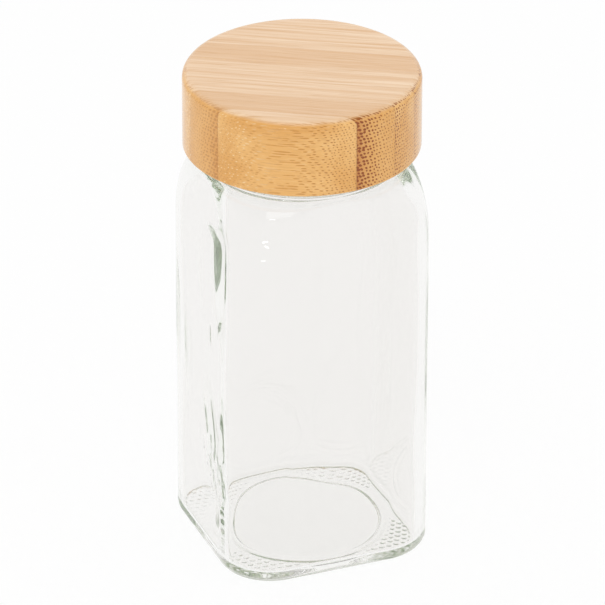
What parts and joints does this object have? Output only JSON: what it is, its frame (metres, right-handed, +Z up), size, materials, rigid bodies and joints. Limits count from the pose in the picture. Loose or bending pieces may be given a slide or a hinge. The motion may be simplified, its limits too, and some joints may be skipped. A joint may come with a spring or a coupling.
{
  "type": "spice jar",
  "caption": "Square clear-glass spice jar with a rounded shoulder, round threaded neck and screw-on bamboo lid with a plastic insert and sealing disc.",
  "frame": {"origin": "middle of the underside, on the surface that the jar stands on", "axes": "+Z up along the jar's and lid's common axis; the four flat sides face +X, -X, +Y and -Y"},
  "size_m": [0.0494, 0.0494, 0.108],
  "materials": {
    "clear_glass": "clear, fire-polished soda-lime glass",
    "liner_foam": "matt closed-cell foam",
    "insert_plastic": "satin moulded polypropylene",
    "bamboo": "laminated bamboo, turned and satin lacquered"
  },
  "bodies": {
    "jar": {"jar_glass": "clear_glass"},
    "seal": {"seal_liner": "liner_foam"},
    "lid": {"lid_shell": "bamboo", "cap_insert": "insert_plastic"}
  },
  "joints": [
    {"name": "lid_rise", "type": "slide", "parent": "jar", "child": "seal", "axis": [0, 0, 1], "range_m": [0, 0.01164]},
    {"name": "lid_turn", "type": "hinge", "parent": "seal", "child": "lid", "pos_m": [0, 0, 0.0998], "axis": [0, 0, 1], "range_deg": [0, 990]}
  ],
  "couplings": [
    {"joint": "lid_turn", "follows": "lid_rise", "rad_per_m": 1484.3}
  ]
}
